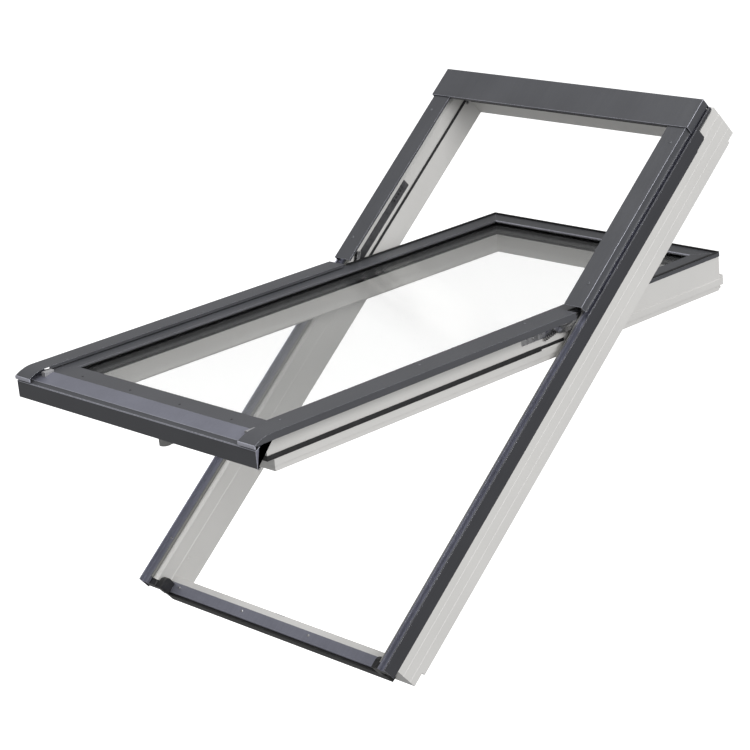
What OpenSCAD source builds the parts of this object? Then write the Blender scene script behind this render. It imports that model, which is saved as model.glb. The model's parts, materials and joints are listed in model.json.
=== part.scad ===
// Centre-hung roof window with a raised pivot: PVC frame and sash, folded
// aluminium claddings, double glazing and telescoping arc hinges.
// Units are millimetres. The origin is the middle of the frame's room-side
// plane. Every piece is drawn in the window's own plane (x across, y up the
// slope, z outwards) and is then tilted to the roof pitch.

/* [Installation] */
// Roof pitch at which the window is set
roof_pitch = 45; // [15:1:90]
// Opening angle of the sash in the modelled pose
sash_open = 40; // [0:1:150]

/* [Frame] */
// Overall width of the frame
window_w = 780; // [550:10:1140]
// Overall length of the frame
window_h = 1398; // [980:2:1600]
// Height of the profile from the room side to the top of its outer ledge
frame_depth = 97; // [90:1:110]
// Width of the side profiles
jamb_w = 40; // [36:1:50]
// Width of the top profile
head_w = 30; // [26:1:40]
// Distance from the lower end of the window to the sill's inner wall
sill_reach = 47; // [42:1:60]
// Height of the ledge that the lower half of the sash closes on
ledge_z = 57; // [50:1:62]
// Set-back of the plastic profile's lower end behind the claddings
end_setback = 16; // [10:1:20]

/* [Pivot] */
// Height of the turning axis above the middle of the window
pivot_y = 155; // [0:5:200]
// Height of the turning axis above the frame's outer ledge
pivot_rise = 51; // [49:1:55]
// Largest angle that the sash turns through, the cleaning position
full_turn = 154; // [150:1:156]

/* [Sash] */
// Gap between the side of the sash and the frame's inner wall
side_gap = 10; // [10:1:12]
// Gap between the top of the sash and the frame's inner wall
top_gap = 14; // [13:1:18]
// Overlap of the sash's bottom rail over the sill ledge
sill_overlap = 12; // [8:1:16]
// Room-side level of the sash
sash_z = 31; // [29:1:34]
// Height of the sash's plastic profile above the frame's outer ledge
sash_rise = 18.8; // [17:0.1:19.5]
// Visible width of the sash profile, out to in
rail_w = 46; // [42:1:56]
// Depth that the panes reach into the profile
pane_cover = 20; // [14:1:20]
// Thickness of one pane
pane_t = 4; // [3:1:6]
// Width of the gas space between the panes
gas_gap = 16; // [12:1:16]

/* [Cladding] */
// Thickness of the folded sheet
sheet_t = 1.2; // [0.8:0.1:1.5]
// Height of the side covers above the frame's outer ledge
cover_rise = 28.7; // [28:0.1:31]
// Reach of the side covers over the sash
cover_lap = 12; // [10:1:14]
// Distance of the covers' outer edge from the side of the frame
cover_inset = 13; // [12:1:16]
// Height of the folded flange that lies over the side of the frame
flange_h = 35; // [25:1:40]
// Length of the top hood, measured down the slope
hood_len = 75; // [60:1:110]
// Height of the top hood above the frame's outer ledge
hood_rise = 32; // [31.5:0.5:37]
// Overhang of the sash's bottom skirt past the end of the frame
skirt_overhang = 19; // [12:1:30]
// Height of the bottom skirt
skirt_h = 35; // [25:1:40]

/* [Lock] */
// Length of the handle's lever
lever_len = 115; // [90:1:130]
// Travel of the lock bolt
lock_travel = 8; // [6:1:9]
// Travel of the cleaning bolt
clean_travel = 13; // [12:1:14]

/* [Hidden] */

// Colours of the finishes
pvc_white = "whitesmoke";
cladding_grey = [0.24, 0.25, 0.27];
rubber_black = [0.06, 0.06, 0.06];
steel = "silver";
hinge_dark = [0.2, 0.2, 0.21];
lever_grey = [0.72, 0.73, 0.74];

// Clearance between pieces that move against each other
slide_gap = 0.3;
// Clearance round a screw's shank
shank_gap = 0.1;

// Levels that follow the frame's depth
pivot_z = frame_depth + pivot_rise;
sash_top_z = frame_depth + sash_rise;
cover_z = frame_depth + cover_rise;
hood_z = frame_depth + hood_rise;

// Frame outline
half_w = window_w / 2;
half_h = window_h / 2;
inner_x = half_w - jamb_w;
head_y = half_h - head_w;
sill_y = -half_h + sill_reach;
pvc_end_y = -half_h + end_setback;
upper_wall_x = inner_x + 2;
step_z = ledge_z + 5;
floor_z = frame_depth - 2;
flashing_z = frame_depth + 11;
seal_x = inner_x + 11.6;
ridge_in_x = half_w - 25;
flange_low_z = flashing_z - 1.2 - flange_h;
flange_top_y = half_h - 65;

// Covers
cover_out_x = half_w - cover_inset;
cover_under_z = cover_z - sheet_t;
cover_split = 1;
hood_side_x = half_w - 7;
hood_top_y = half_h - 5;
hood_low_y = hood_top_y - hood_len;

// Sash outline
sash_x = inner_x - side_gap;
cover_in_x = sash_x - cover_lap;
sash_top = head_y - top_gap;
sash_bottom = sill_y - sill_overlap;
sash_len = sash_top - sash_bottom;
proud = 1.5;
band_low_z = ledge_z + 1.3;
band_high_z = band_low_z + 9.5;
lower_part_y = sill_y + 3;
flange_part_y = sill_y + 6;
flange_part_z = sash_z + 12;
glass_r = rail_w - pane_cover;
rebate_r = glass_r - 4;
trim_z = sash_top_z + sheet_t;
outer_pane_z = sash_top_z - 5.8 - pane_t;
inner_pane_z = outer_pane_z - gas_gap - pane_t;
bead_z = inner_pane_z - 2;
gasket_r = rail_w - 14;
seal_end_y = pivot_y - 75;
lip_start_y = pivot_y + 15;
lip_h = 3.4;
skirt_y = -half_h - skirt_overhang;
skirt_top_z = flashing_z - 6;
skirt_x = cover_out_x - sheet_t;
cover_tip_y = skirt_y - 2;
cover_bend = 45;
cover_drop = 12.7;

// Arc hinge: the sash's shoe runs in the slider, the slider in the guide
guide_r = 62;
groove_half = 2;
slider_half = 5;
rail_t = 3;
guide_plate_t = 1.5;
shoe_plate_t = 1.5;
guide_span = 34;
slider_span = 60;
shoe_span = 42;
guide_plate_low = flashing_z - 36;
guide_plate_high = frame_depth - 5;
guide_plate_end = pivot_y + 248;
slider_in_x = sash_x + 2.6;
slider_out_x = upper_wall_x - guide_plate_t - slide_gap;

// Lock in the bottom rail
spindle_x = -16;
spindle_y = sill_y + 21;
spindle_r = 4;
rose_t = 8;
hub_r = 12;
hub_h = 15;
lever_t = 12;
lever_end_r = 8;
case_z = [sash_z + 2, sash_z + 31];
case_half = [30, 8];
bolt_x = [spindle_x + 12, spindle_x + 24];
bolt_z = [48, 53];
bolt_tip_y = lower_part_y + 0.5;
bolt_len = 22;

// Cleaning bolt in the top rail's left end
clean_r = 3;
clean_y = sash_top + 4.5;
clean_z = band_low_z - 6.3;
clean_len = 40;
clean_radius = norm([clean_y - pivot_y, clean_z - pivot_z]);
clean_angle = atan2(clean_z - pivot_z, clean_y - pivot_y) - full_turn;
bush_r = 6;
bush_len = 12;
// Places (y, z) of the bolt's two bushes: sash closed, and turned right over
bush_places = [[clean_y, clean_z],
    [pivot_y + clean_radius * cos(clean_angle), pivot_z + clean_radius * sin(clean_angle)]];

// Places of the screws and clips
upper_screw_y = [pivot_y + 60, hood_low_y - 40];
clip_len = 40;
sash_screw_y = [sash_bottom + 45, (sash_bottom + pivot_y) / 2, pivot_y - 110];
flashing_screw_y = [pivot_y - 155, -half_h + 114];
flashing_screw_x = half_w - 11;
rivet_x = [for (i = [-1.5 : 1 : 1.5]) i * window_w * 0.27];
rivet_y = -half_h + 25;
trim_screw_x = [for (i = [-1.5 : 1 : 1.5]) i * window_w * 0.2];
trim_screw_y = sash_bottom + 10;
guide_screw_y = [for (i = [0 : 3]) pivot_y + 194 + 9.3 * i];
guide_pin_y = pivot_y + 232;
guide_screw_z = frame_depth - 12;
shoe_screw_y = [pivot_y - 115, pivot_y - 95];
shoe_screw_z = sash_top_z - 24;

// ---- Helpers -------------------------------------------------------------

// Tilts a piece of the frame to the roof pitch
module installed() rotate([roof_pitch, 0, 0]) children();

// Turns a piece about the sash's axis, lower half outwards
module turned(angle)
    translate([0, pivot_y, pivot_z]) rotate([-angle, 0, 0])
        translate([0, -pivot_y, -pivot_z]) children();

// Places a piece of the sash at the opening angle
module on_sash() installed() turned(sash_open) children();

// A profile in (x, z), drawn out along y
module along_y(y0, y1)
    translate([0, y1, 0]) rotate([90, 0, 0]) linear_extrude(y1 - y0) children();

// A profile in (y, z), drawn out along x
module along_x(x0, x1)
    translate([x0, 0, 0]) rotate([90, 0, 90]) linear_extrude(x1 - x0) children();

// A box between two corners
module block(low, high) translate(low) cube(high - low);

// The same piece on the left side
module on_left() mirror([1, 0, 0]) children();

function unit(v) = v / norm(v);
function side(v) = [-v[1], v[0]];
// Points of a path moved sideways by t, with mitred corners
function moved(p, t) = [for (i = [0 : len(p) - 1])
    let (
        a = side(unit(i > 0 ? p[i] - p[i - 1] : p[1] - p[0])),
        b = side(unit(i < len(p) - 1 ? p[i + 1] - p[i] : p[i] - p[i - 1]))
    ) p[i] + t * (a + b) / (1 + a * b)];
function reversed(p) = [for (i = [len(p) - 1 : -1 : 0]) p[i]];

// Section of a folded sheet whose outer face follows the path
module folded(path, t = sheet_t) polygon(concat(path, reversed(moved(path, t))));

// A pan-head screw that stands on z = 0 and points down
module screw(head_r, head_h, shank_r, shank_len) {
    cylinder(r = head_r, h = head_h);
    translate([0, 0, -shank_len]) cylinder(r = shank_r, h = shank_len + 0.1);
}

// The hole for that screw's shank
module shank_hole(shank_r, shank_len)
    translate([0, 0, -shank_len - shank_gap])
        cylinder(r = shank_r + shank_gap, h = shank_len + 10);

// Keeps the part of a side rail between its mitres
module side_mitre(reach) linear_extrude(300) polygon([
    [sash_x + 20, sash_bottom - 20], [sash_x + 20, sash_top], [sash_x, sash_top],
    [sash_x - reach, sash_top - reach], [sash_x - reach, sash_bottom + reach]]);

// Keeps the part of an end rail between its mitres
module end_mitre(reach, y_end, dir) linear_extrude(300) polygon([
    [-sash_x - 20, y_end + dir * 20], [sash_x + 20, y_end + dir * 20],
    [sash_x - reach, y_end - dir * reach], [-sash_x + reach, y_end - dir * reach]]);

// A flat ring of the sash's plan, r_out to r_in from its outer edge
module plan_ring(r_out, r_in) difference() {
    plan_rect(r_out);
    plan_rect(r_in);
}
module plan_rect(r) translate([-sash_x + r, sash_bottom + r])
    square([2 * (sash_x - r), sash_len - 2 * r]);

// ---- Frame ---------------------------------------------------------------

// Section of the right side profile in (x, z)
module jamb_section() {
    notch = 1;
    polygon(concat(
        [[inner_x, 0], [half_w, 0]],
        [for (z = [27, 52], s = [-1, 0, 1]) [half_w - (s == 0 ? notch : 0), z + s * notch]],
        [[half_w, flange_low_z], [half_w - sheet_t, flange_low_z],
         [half_w - sheet_t, floor_z], [ridge_in_x, floor_z],
         [ridge_in_x, frame_depth], [upper_wall_x + 5, frame_depth],
         [upper_wall_x, frame_depth - 5], [upper_wall_x, step_z],
         [inner_x, step_z - 2]]));
}

module jamb() {
    lip_end = sill_y;
    difference() {
        along_y(pvc_end_y, half_h) jamb_section();
        block([inner_x - 1, pvc_end_y - 1, -1], [half_w + 1, lip_end, 9]);
        block([inner_x - 1, half_h - 22, -1], [half_w + 1, half_h + 1, 6]);
        for (y = flashing_screw_y) translate([flashing_screw_x, y, floor_z + sheet_t])
            shank_hole(1.8, 14);
        for (y = guide_screw_y) translate([upper_wall_x - guide_plate_t, y, guide_screw_z])
            rotate([0, -90, 0]) shank_hole(1.6, 14);
        translate([upper_wall_x - guide_plate_t, pivot_y - 55, guide_screw_z])
            rotate([0, -90, 0]) shank_hole(1.6, 14);
        for (y = upper_screw_y) translate([upper_wall_x + 7.5, y, cover_z])
            shank_hole(1.8, 36);
        translate([inner_x - 1, -half_h + 97, frame_depth - 50]) rotate([0, 90, 0])
            cylinder(r = 5, h = 6);
    }
}

module frame_jamb_right() installed() color(pvc_white) jamb();
module frame_jamb_left() installed() color(pvc_white) difference() {
    on_left() jamb();
    for (p = bush_places) translate([-inner_x - bush_len, p[0], p[1]]) rotate([0, 90, 0])
        cylinder(r = bush_r, h = bush_len + 1);
}

module frame_head() installed() color(pvc_white) difference() {
    along_x(-inner_x, inner_x) polygon([
        [head_y, 0], [half_h, 0], [half_h, frame_depth], [head_y + 6, frame_depth],
        [head_y, frame_depth - 6], [head_y, 49], [head_y + 3, 49],
        [head_y + 3, 41], [head_y, 41]]);
    block([-inner_x - 1, half_h - 22, -1], [inner_x + 1, half_h + 1, 6]);
}

module frame_sill() installed() color(pvc_white) difference() {
    along_x(-inner_x, inner_x) polygon([
        [sill_y, 0], [sill_y, ledge_z], [pvc_end_y, ledge_z],
        [pvc_end_y, 9], [sill_y - 12, 9], [sill_y - 12, 0]]);
    // seat of the strike plate and pocket for the bolt
    block([bolt_x[0] - 10, sill_y - 1.5, bolt_z[0] - 6], [bolt_x[1] + 10, sill_y + 1, ledge_z + 1]);
    block([bolt_x[0] - 1.5, sill_y - 12, bolt_z[0] - 1.5], [bolt_x[1] + 1.5, sill_y, bolt_z[1] + 1.5]);
    for (x = rivet_x) translate([x, rivet_y, ledge_z + sheet_t]) shank_hole(1.6, 10);
}

// Black seal in the head's groove, with a round lip
module frame_seal_head() installed() color(rubber_black)
    along_x(-inner_x, inner_x) union() {
        translate([head_y, 41]) square([3, 8]);
        translate([head_y, 45]) intersection() {
            circle(r = 2.6, $fn = 32);
            translate([-3, -3]) square([3.2, 6]);
        }
    }

module jamb_seal() color(rubber_black) along_y(pvc_end_y, hood_low_y + 20)
    polygon([[seal_x, frame_depth], [ridge_in_x, frame_depth], [ridge_in_x, frame_depth + 6],
             [seal_x + 1.4, frame_depth + 6], [seal_x, frame_depth + 4.4]]);
module frame_seal_right() installed() jamb_seal();
module frame_seal_left() installed() on_left() jamb_seal();

// Outer face of the gutter, from its outer bead to the ridge
gutter_path = [
    [half_w, flashing_z - 1.2], [half_w - 1.5, flashing_z], [half_w - 3.5, flashing_z - 1],
    [half_w - 5, floor_z + 3.2], [half_w - 14, floor_z + 3], [half_w - 15.5, floor_z + sheet_t],
    [half_w - 18.6, floor_z + sheet_t], [half_w - 20, frame_depth + 6],
    [ridge_in_x + 1.2, frame_depth + 6], [ridge_in_x + 1.2, floor_z + 1.2]];

module flashing() difference() {
    union() {
        along_y(-half_h, flange_top_y) folded(concat([[half_w, flange_low_z]], gutter_path));
        along_y(flange_top_y - 1, hood_top_y - 3)
            folded(concat([[half_w, floor_z + 4]], gutter_path));
    }
    // chamfered top of the side flange and its small step
    translate([half_w - 2, flange_top_y, flange_low_z]) rotate([45, 0, 0])
        cube([4, 8, 8], center = true);
    block([half_w - 2, flange_top_y - 35, flange_low_z - 1], [half_w + 1, flange_top_y + 1, flange_low_z + 1.6]);
    for (y = flashing_screw_y) translate([flashing_screw_x, y, floor_z + sheet_t])
        shank_hole(1.8, 14);
}
module side_flashing_right() installed() color(cladding_grey) flashing();
module side_flashing_left() installed() color(cladding_grey) on_left() flashing();

module flashing_screws() installed() color(steel)
    for (s = [-1, 1], y = flashing_screw_y)
        translate([s * flashing_screw_x, y, floor_z + 3.14]) screw(3.2, 1.8, 1.8, 14);

// Folded top hood with end plates
module head_hood() installed() color(cladding_grey) {
    difference() {
        along_x(-hood_side_x, hood_side_x) folded([
            [hood_top_y, frame_depth], [hood_top_y, hood_z],
            [hood_low_y, hood_z], [hood_low_y, hood_z - 8]]);
        // the front lip is cut back over the side covers
        for (s = [0, 1]) mirror([s, 0, 0])
            block([cover_in_x - 1, hood_low_y - 1, 0], [half_w, hood_low_y + 3, cover_z + slide_gap]);
    }
    for (s = [0, 1]) mirror([s, 0, 0])
        block([hood_side_x - sheet_t, hood_low_y, flashing_z], [hood_side_x, hood_top_y, hood_z - 0.1]);
}

// Side cover of the upper half, fixed to the frame
module upper_cover() difference() {
    along_y(pivot_y + cover_split, hood_top_y - 3) folded([
        [cover_in_x, trim_z + lip_h + slide_gap], [cover_in_x, cover_z], [cover_out_x, cover_z],
        [cover_out_x, flashing_z + 2.5], [cover_out_x + 4.5, flashing_z + 2.5]], -sheet_t);
    for (y = upper_screw_y) translate([upper_wall_x + 7.5, y, cover_z]) shank_hole(1.8, 36);
}
module upper_cover_right() installed() color(cladding_grey) upper_cover();
module upper_cover_left() installed() color(cladding_grey) on_left() upper_cover();

module cover_clips() installed() color(rubber_black)
    for (s = [0, 1], y = upper_screw_y) mirror([s, 0, 0]) difference() {
        block([upper_wall_x + 5.2, y - clip_len / 2, frame_depth],
              [seal_x - 0.1, y + clip_len / 2, cover_under_z]);
        translate([upper_wall_x + 7.5, y, cover_z]) shank_hole(1.8, 36);
    }

module upper_cover_screws() installed() color(steel)
    for (s = [-1, 1], y = upper_screw_y)
        translate([s * (upper_wall_x + 7.5), y, cover_z]) screw(3.6, 1.4, 1.8, 36);

module sill_cladding() installed() color(cladding_grey) difference() {
    along_x(-inner_x, inner_x) folded([
        [sill_y - 13, ledge_z + sheet_t], [-half_h + 11, ledge_z + sheet_t],
        [-half_h + 9.8, ledge_z], [-half_h + 9.8, ledge_z - 10]]);
    for (x = rivet_x) translate([x, rivet_y, ledge_z + sheet_t]) shank_hole(1.6, 10);
}

module sill_rivets() installed() color(steel)
    for (x = rivet_x) translate([x, rivet_y, ledge_z + sheet_t]) screw(3, 1, 1.6, 10);

module sill_seal() installed() color(rubber_black) along_x(-inner_x, inner_x)
    polygon([[-half_h + 9.8, ledge_z - 4], [-half_h + 9.8, ledge_z - 22], [pvc_end_y, ledge_z - 22],
             [pvc_end_y, ledge_z - 30], [-half_h + 4, ledge_z - 30], [-half_h + 4, ledge_z - 4]]);

// Plastic cap in the lower corner, rounded towards the sash
module sill_cap() {
    cap_top = frame_depth - 8;
    round_r = 14;
    along_x(inner_x - 15, inner_x) hull() {
        translate([-half_h + 2, ledge_z + sheet_t]) square([28, 10]);
        translate([-half_h + 2, cap_top - 12]) square([6, 12]);
        translate([-half_h + 4 + round_r, cap_top - round_r]) circle(r = round_r, $fn = 32);
    }
    block([inner_x, -half_h + 2, flange_low_z + 2], [half_w - sheet_t, pvc_end_y, floor_z]);
}
module sill_cap_right() installed() color(rubber_black) sill_cap();
module sill_cap_left() installed() color(rubber_black) on_left() sill_cap();

module strike_plate() installed() color(steel) difference() {
    block([bolt_x[0] - 10, sill_y - 1.5, bolt_z[0] - 6], [bolt_x[1] + 10, sill_y, ledge_z - 0.5]);
    block([bolt_x[0] - 1, sill_y - 3, bolt_z[0] - 1], [bolt_x[1] + 1, sill_y + 1, bolt_z[1] + 1]);
}

module bolt_bush() installed() color(steel) for (p = bush_places)
    translate([-inner_x - bush_len, p[0], p[1]]) rotate([0, 90, 0]) difference() {
        cylinder(r = bush_r, h = bush_len);
        translate([0, 0, 1]) cylinder(r = clean_r + slide_gap, h = bush_len);
    }

module frame_plugs() installed() color(pvc_white) for (s = [0, 1]) mirror([s, 0, 0])
    translate([inner_x - 0.6, -half_h + 97, frame_depth - 50]) rotate([0, 90, 0])
        cylinder(r = 5, h = 5.5);

// ---- Arc hinges ----------------------------------------------------------

// An arc of the hinge's circle, lying against x, centred on straight down
module arc(r0, r1, span, x0, x1)
    translate([x0, pivot_y, pivot_z]) rotate([0, 90, 0])
        rotate([0, 0, -span]) rotate_extrude(angle = 2 * span, $fn = 128)
            translate([r0, 0]) square([r1 - r0, x1 - x0]);

module guide() {
    plate_x = upper_wall_x - guide_plate_t;
    rail_x = slider_out_x - 3.7;
    difference() {
        union() {
            block([plate_x, pivot_y - 68, guide_plate_low], [upper_wall_x, guide_plate_end, guide_plate_high]);
            intersection() {
                union() {
                    arc(guide_r - slider_half - rail_t, guide_r - slider_half - slide_gap,
                        guide_span, rail_x, plate_x + 0.1);
                    arc(guide_r + slider_half + slide_gap, guide_r + slider_half + rail_t,
                        guide_span, rail_x, plate_x + 0.1);
                }
                block([rail_x - 1, pivot_y - 68, guide_plate_low], [upper_wall_x, pivot_y + 68, guide_plate_high]);
            }
        }
        for (y = concat(guide_screw_y, [pivot_y - 55])) translate([plate_x, y, guide_screw_z])
            rotate([0, -90, 0]) shank_hole(1.6, 14);
    }
    translate([plate_x - 2, guide_pin_y, guide_screw_z]) rotate([0, 90, 0]) cylinder(r = 2.4, h = 2.1);
}
module hinge_guide_right() installed() color(hinge_dark) guide();
module hinge_guide_left() installed() color(hinge_dark) on_left() guide();

module hinge_guide_screws() installed() color(hinge_dark)
    for (s = [0, 1], y = concat(guide_screw_y, [pivot_y - 55])) mirror([s, 0, 0])
        translate([upper_wall_x - guide_plate_t, y, guide_screw_z])
            rotate([0, -90, 0]) screw(3.2, 1.2, 1.6, 14);

// Middle piece of the telescoping hinge: it turns half as far as the sash
module slider() difference() {
    arc(guide_r - slider_half, guide_r + slider_half, slider_span, slider_in_x, slider_out_x);
    arc(guide_r - groove_half, guide_r + groove_half, slider_span + 1, slider_in_x - 1, slider_in_x + 4);
}
module hinge_slider_right() installed() turned(sash_open / 2) color(steel) slider();
module hinge_slider_left() installed() turned(sash_open / 2) color(steel) on_left() slider();

// The sash's half of the hinge: a plate with the shoe that runs in the slider
module shoe() {
    plate_x = sash_x + shoe_plate_t;
    difference() {
        union() {
            arc(guide_r - slider_half - rail_t, guide_r + slider_half + rail_t,
                shoe_span, sash_x, plate_x);
            block([sash_x, pivot_y - 130, shoe_screw_z - 9], [plate_x, pivot_y - 30, shoe_screw_z + 9]);
        }
        for (y = shoe_screw_y) translate([plate_x, y, shoe_screw_z])
            rotate([0, 90, 0]) shank_hole(1.6, 14);
    }
    arc(guide_r - groove_half + slide_gap, guide_r + groove_half - slide_gap,
        shoe_span, plate_x - 0.1, slider_in_x + 4 - slide_gap);
    // friction brake block with its adjusting screw
    block([plate_x - 0.1, pivot_y - 86, shoe_screw_z - 6], [plate_x + 4, pivot_y - 64, shoe_screw_z + 6]);
    translate([plate_x + 4, pivot_y - 75, shoe_screw_z]) rotate([0, 90, 0]) cylinder(r = 3.5, h = 1.2);
}
module hinge_shoe_right() on_sash() color(hinge_dark) shoe();
module hinge_shoe_left() on_sash() color(hinge_dark) on_left() shoe();

module hinge_shoe_screws() on_sash() color(steel)
    for (s = [0, 1], y = shoe_screw_y) mirror([s, 0, 0])
        translate([sash_x + shoe_plate_t, y, shoe_screw_z])
            rotate([0, 90, 0]) screw(3.4, 1.6, 1.6, 14);

// ---- Sash ----------------------------------------------------------------

// Section of the sash profile: r inwards from its outer face, z outwards
rail_points = [
    [2, sash_z], [rail_w - 26, sash_z], [rail_w, flange_part_z + 1], [rail_w, bead_z],
    [rebate_r, bead_z], [rebate_r, sash_top_z], [0, sash_top_z], [0, band_low_z + 0.2],
    [-proud, band_low_z - 1.3], [-proud, flange_part_z], [2, flange_part_z]];

// Cuts away what would meet the sill ledge
module sill_relief() {
    block([-half_w, sash_bottom - 30, -1], [half_w, lower_part_y, band_low_z]);
    block([-half_w, sash_bottom - 30, -1], [half_w, flange_part_y, flange_part_z]);
}

// Groove for the weather seal in the lower half
module seal_groove(depth, reach) translate([0, 0, band_low_z]) linear_extrude(band_high_z - band_low_z)
    intersection() {
        difference() {
            plan_rect(-reach);
            plan_rect(depth);
        }
        translate([-half_w, sash_bottom - 40]) square([window_w, seal_end_y - sash_bottom + 40]);
    }

module side_rail() difference() {
    intersection() {
        along_y(sash_bottom - 20, sash_top + 20)
            polygon([for (p = rail_points) [sash_x - p[0], p[1]]]);
        side_mitre(rail_w + 4);
    }
    sill_relief();
    seal_groove(4, 20);
    for (y = shoe_screw_y) translate([sash_x + shoe_plate_t, y, shoe_screw_z])
        rotate([0, 90, 0]) shank_hole(1.6, 14);
    for (y = sash_screw_y) translate([cover_in_x + 6, y, cover_z]) shank_hole(1.8, 22);
}
module sash_rail_right() on_sash() color(pvc_white) side_rail();
module sash_rail_left() on_sash() color(pvc_white) on_left() side_rail();

module sash_rail_top() on_sash() color(pvc_white) difference() {
    union() {
        intersection() {
            along_x(-sash_x - 20, sash_x + 20)
                polygon([for (p = rail_points) [sash_top - p[0], p[1]]]);
            end_mitre(rail_w + 4, sash_top, 1);
        }
        // flange that closes against the head's seal from the room side
        block([-sash_x - proud, sash_top, flange_part_z], [sash_x + proud, sash_top + 9, band_low_z + 7]);
        along_x(-sash_x + 8, sash_x - 8) polygon([
            [sash_top - 8, sash_z], [sash_top + 10, sash_z + 1], [sash_top + 12, sash_z + 4],
            [sash_top + 6, flange_part_z], [sash_top - 8, flange_part_z]]);
    }
    translate([-sash_x - proud - 1, clean_y, clean_z]) rotate([0, 90, 0])
        cylinder(r = clean_r + slide_gap, h = clean_len + 3 + proud);
    // slot for the cleaning bolt's knob, and the same slot at the other end
    for (s = [0, 1]) mirror([s, 0, 0])
        block([-sash_x + 2, clean_y, clean_z - 2.8], [-sash_x + 24, sash_top + 10, clean_z + 2.8]);
}

module sash_rail_bottom() on_sash() color(pvc_white) difference() {
    intersection() {
        along_x(-sash_x - 20, sash_x + 20) polygon([
            [sash_bottom, sash_z], [sash_bottom + rail_w, sash_z], [sash_bottom + rail_w, bead_z],
            [sash_bottom + rebate_r, bead_z], [sash_bottom + rebate_r, sash_top_z],
            [sash_bottom, sash_top_z]]);
        end_mitre(rail_w + 4, sash_bottom, -1);
    }
    sill_relief();
    seal_groove(4, 20);
    block([spindle_x - case_half[0], spindle_y - case_half[1], sash_z - 1],
          [spindle_x + case_half[0], spindle_y + case_half[1], case_z[1]]);
    block([bolt_x[0] - slide_gap, lower_part_y - 1, bolt_z[0] - slide_gap],
          [bolt_x[1] + slide_gap, spindle_y, bolt_z[1] + slide_gap]);
    for (x = trim_screw_x) translate([x, trim_screw_y, trim_z]) shank_hole(1.6, 14);
}

module sash_seal() on_sash() color(rubber_black) seal_groove(4, 3);

// Glazing
module outer_pane() on_sash() color([0.75, 0.85, 0.85, 0.4])
    translate([0, 0, outer_pane_z]) linear_extrude(pane_t) plan_rect(glass_r);
module inner_pane() on_sash() color([0.75, 0.85, 0.85, 0.4])
    translate([0, 0, inner_pane_z]) linear_extrude(pane_t) plan_rect(glass_r);
module pane_spacer() on_sash() color(rubber_black)
    translate([0, 0, inner_pane_z + pane_t]) linear_extrude(gas_gap) plan_ring(glass_r + 2, rail_w + 1);
module outer_glazing_gasket() on_sash() color(rubber_black)
    translate([0, 0, outer_pane_z + pane_t]) linear_extrude(sash_top_z - outer_pane_z - pane_t)
        plan_ring(gasket_r, rail_w - 4);
module inner_glazing_gasket() on_sash() color(rubber_black)
    translate([0, 0, bead_z]) linear_extrude(inner_pane_z - bead_z) plan_ring(gasket_r, rail_w);

// Folded trims over the glass edge
module side_trim() difference() {
    intersection() {
        along_y(sash_bottom - 20, sash_top + 20) folded([
            [sash_x + sheet_t, sash_top_z - 7], [sash_x + sheet_t, trim_z],
            [sash_x - rail_w + 2, trim_z], [sash_x - rail_w, trim_z - 3]]);
        side_mitre(rail_w + 4);
    }
    for (y = sash_screw_y) translate([cover_in_x + 6, y, cover_z]) shank_hole(1.8, 22);
}
module sash_trim_right() on_sash() color(cladding_grey) side_trim();
module sash_trim_left() on_sash() color(cladding_grey) on_left() side_trim();

module sash_trim_top() on_sash() color(cladding_grey) intersection() {
    along_x(-sash_x - 20, sash_x + 20) folded([
        [sash_top + sheet_t, sash_top_z - 7], [sash_top + sheet_t, trim_z],
        [sash_top - rail_w + 2, trim_z], [sash_top - rail_w, trim_z - 3]]);
    end_mitre(rail_w + 4, sash_top, 1);
}

module sash_trim_bottom() on_sash() color(cladding_grey) difference() {
    intersection() {
        along_x(-sash_x - 20, sash_x + 20) folded([
            [sash_bottom - 4, trim_z], [sash_bottom + rail_w - 2, trim_z],
            [sash_bottom + rail_w, trim_z - 3]], -sheet_t);
        end_mitre(rail_w + 4, sash_bottom, -1);
    }
    for (x = trim_screw_x) translate([x, trim_screw_y, trim_z]) shank_hole(1.6, 14);
}

module trim_screws() on_sash() color(hinge_dark)
    for (x = trim_screw_x) translate([x, trim_screw_y, trim_z]) screw(2.6, 0.8, 1.6, 14);

// Drip surface, two ridges and skirt below the sash
module bottom_skirt() on_sash() color(cladding_grey) {
    top_y = sash_bottom - 4;
    along_x(-skirt_x, skirt_x) folded([
        [top_y, trim_z - 6], [top_y, trim_z], [top_y - 3, trim_z],
        [skirt_y + 12, skirt_top_z + 5.5],
        [skirt_y + 10, skirt_top_z + 6.5], [skirt_y + 8, skirt_top_z + 4],
        [skirt_y + 2.5, skirt_top_z + 1], [skirt_y + 1, skirt_top_z + 1.6],
        [skirt_y, skirt_top_z], [skirt_y, skirt_top_z - skirt_h]]);
    for (s = [0, 1]) mirror([s, 0, 0]) along_x(skirt_x - sheet_t, skirt_x) polygon([
        [skirt_y + 0.5, skirt_top_z - skirt_h], [skirt_y + 0.5, skirt_top_z],
        [skirt_y + 8, skirt_top_z + 3.5], [-half_h - 2, skirt_top_z + 4],
        [-half_h - 2, skirt_top_z - 12]]);
}

// Outer line of the sash cover: level, then a round bend down to its tip
bend_angle = 2 * atan(cover_drop / cover_bend);
bend_r = cover_bend / sin(bend_angle);
function cover_line(lift) = concat(
    [[pivot_y - cover_split, cover_z - lift]],
    [for (i = [0 : 12]) let (a = bend_angle * i / 12)
        [cover_tip_y + cover_bend - (bend_r - lift) * sin(a),
         cover_z - bend_r + (bend_r - lift) * cos(a)]]);

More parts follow.
